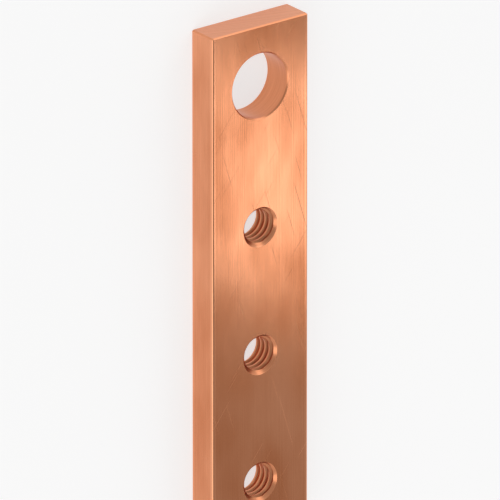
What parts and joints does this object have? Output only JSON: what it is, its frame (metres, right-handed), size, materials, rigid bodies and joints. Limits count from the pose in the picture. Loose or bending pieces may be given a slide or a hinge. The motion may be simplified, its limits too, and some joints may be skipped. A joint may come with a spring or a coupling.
{
  "type": "copper busbar",
  "caption": "Short flat copper busbar with a plain fixing hole at one end and a row of tapped holes for conductor screws.",
  "frame": {"origin": "centre of the back face, which the bar rests on", "axes": "+X along the bar away from the fixing hole's end, +Y across its width, +Z out of its front face"},
  "size_m": [0.0812, 0.0176, 0.005],
  "materials": {
    "copper": "satin"
  },
  "bodies": {
    "root": {"busbar": "copper"}
  },
  "joints": []
}
